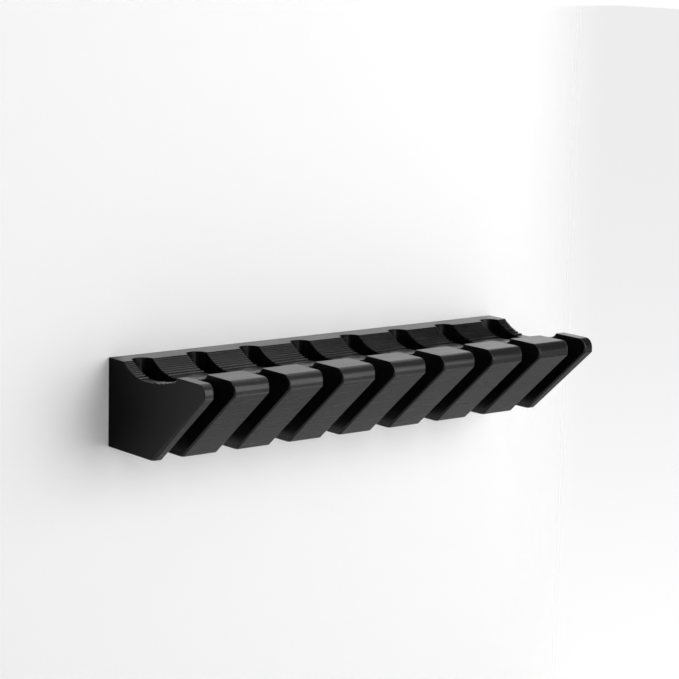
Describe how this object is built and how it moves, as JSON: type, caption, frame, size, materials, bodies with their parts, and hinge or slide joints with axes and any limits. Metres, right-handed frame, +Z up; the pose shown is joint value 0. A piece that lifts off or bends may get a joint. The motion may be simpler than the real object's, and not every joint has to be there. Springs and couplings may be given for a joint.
{
  "type": "screwdriver rack",
  "caption": "One-piece comb of round-ended slots with a scooped top that holds screwdrivers by their shanks, hung on a perforated board by upturned hooks.",
  "frame": {"origin": "on the flat back face, midway along the rack, level with the shanks of the hooks, which lie on the bottom of the board holes", "axes": "+X along the rack, +Y into the wall, +Z up"},
  "size_m": [0.1542, 0.0634, 0.0299],
  "materials": {
    "black_plastic": "near-black printed plastic, satin, with fine level layer lines"
  },
  "bodies": {
    "root": {"rack_body": "black_plastic"}
  },
  "joints": []
}
